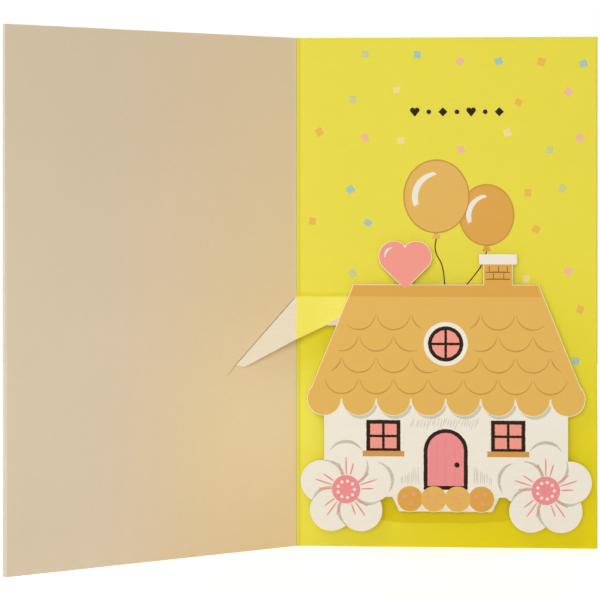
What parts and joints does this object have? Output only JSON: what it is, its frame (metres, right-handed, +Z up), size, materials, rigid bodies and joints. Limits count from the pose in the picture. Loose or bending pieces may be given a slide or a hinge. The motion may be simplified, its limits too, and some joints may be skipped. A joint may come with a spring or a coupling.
{
  "type": "greeting card",
  "caption": "Open upright greeting card with a cream page, a yellow confetti page and a die-cut figure lifted off the page by a folded strip.",
  "frame": {"origin": "foot of the fold, in the middle of the cover's thickness, on the surface the card stands on", "axes": "+Z up along the fold, +X along the right leaf towards its free edge, the pages face -Y"},
  "size_m": [0.1972, 0.0511, 0.178],
  "materials": {
    "cover_board": "matte uncoated white-cream board",
    "printed_page": "matte printed paper, cream on the left half and yellow on the right",
    "strip_card": "matte printed card, cream left wing and yellow right wing",
    "figure_board": "matte printed board in tan and cream with a pale cut edge"
  },
  "bodies": {
    "root": {"cover": "cover_board", "inner_page": "printed_page", "lifting_strip": "strip_card", "support_leg": "strip_card", "figure": "figure_board"}
  },
  "joints": []
}
